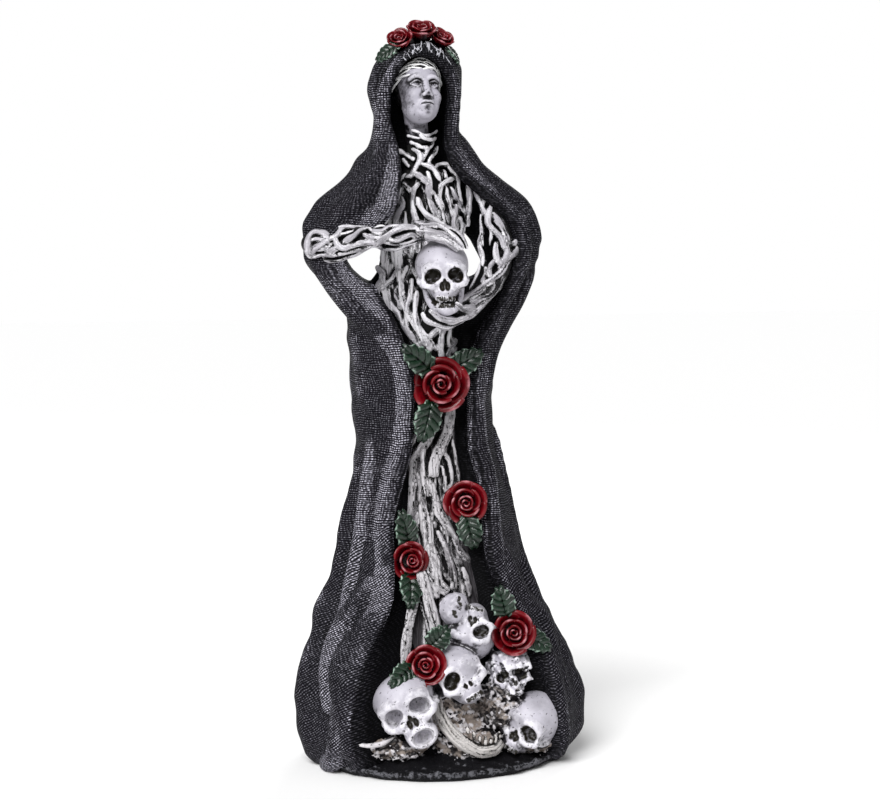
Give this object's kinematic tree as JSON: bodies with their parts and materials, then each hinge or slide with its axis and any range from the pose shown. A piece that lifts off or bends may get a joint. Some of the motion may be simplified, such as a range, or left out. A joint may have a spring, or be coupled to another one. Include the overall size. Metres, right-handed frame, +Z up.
{
  "type": "santa muerte figure",
  "caption": "Cast resin statuette of a hooded woman of twisted roots who holds a skull at her breast, her cloak open over a heap of skulls, with roses; an ornament that stands on its base.",
  "frame": {"origin": "middle of the underside's bounding rectangle, on the surface the figure stands on", "axes": "+Z up from the base to the crown of roses; -Y is the front, the way the figure faces; +X is to the right of someone who looks at its front"},
  "size_m": [0.1336, 0.098, 0.34],
  "materials": {
    "cloak": "charcoal paint dry-brushed with silver over cast gauze weave",
    "bone": "bone grey paint with a dark wash in the grain",
    "skull": "off-white paint with a violet-grey and olive wash in the hollows",
    "rose": "deep red satin paint with pale dry-brushed petal edges",
    "leaf": "dark green paint with grey dry-brushed veins",
    "ground": "rough matt black paint"
  },
  "bodies": {
    "root": {"santa_muerte_figure": "cloak"}
  },
  "joints": []
}
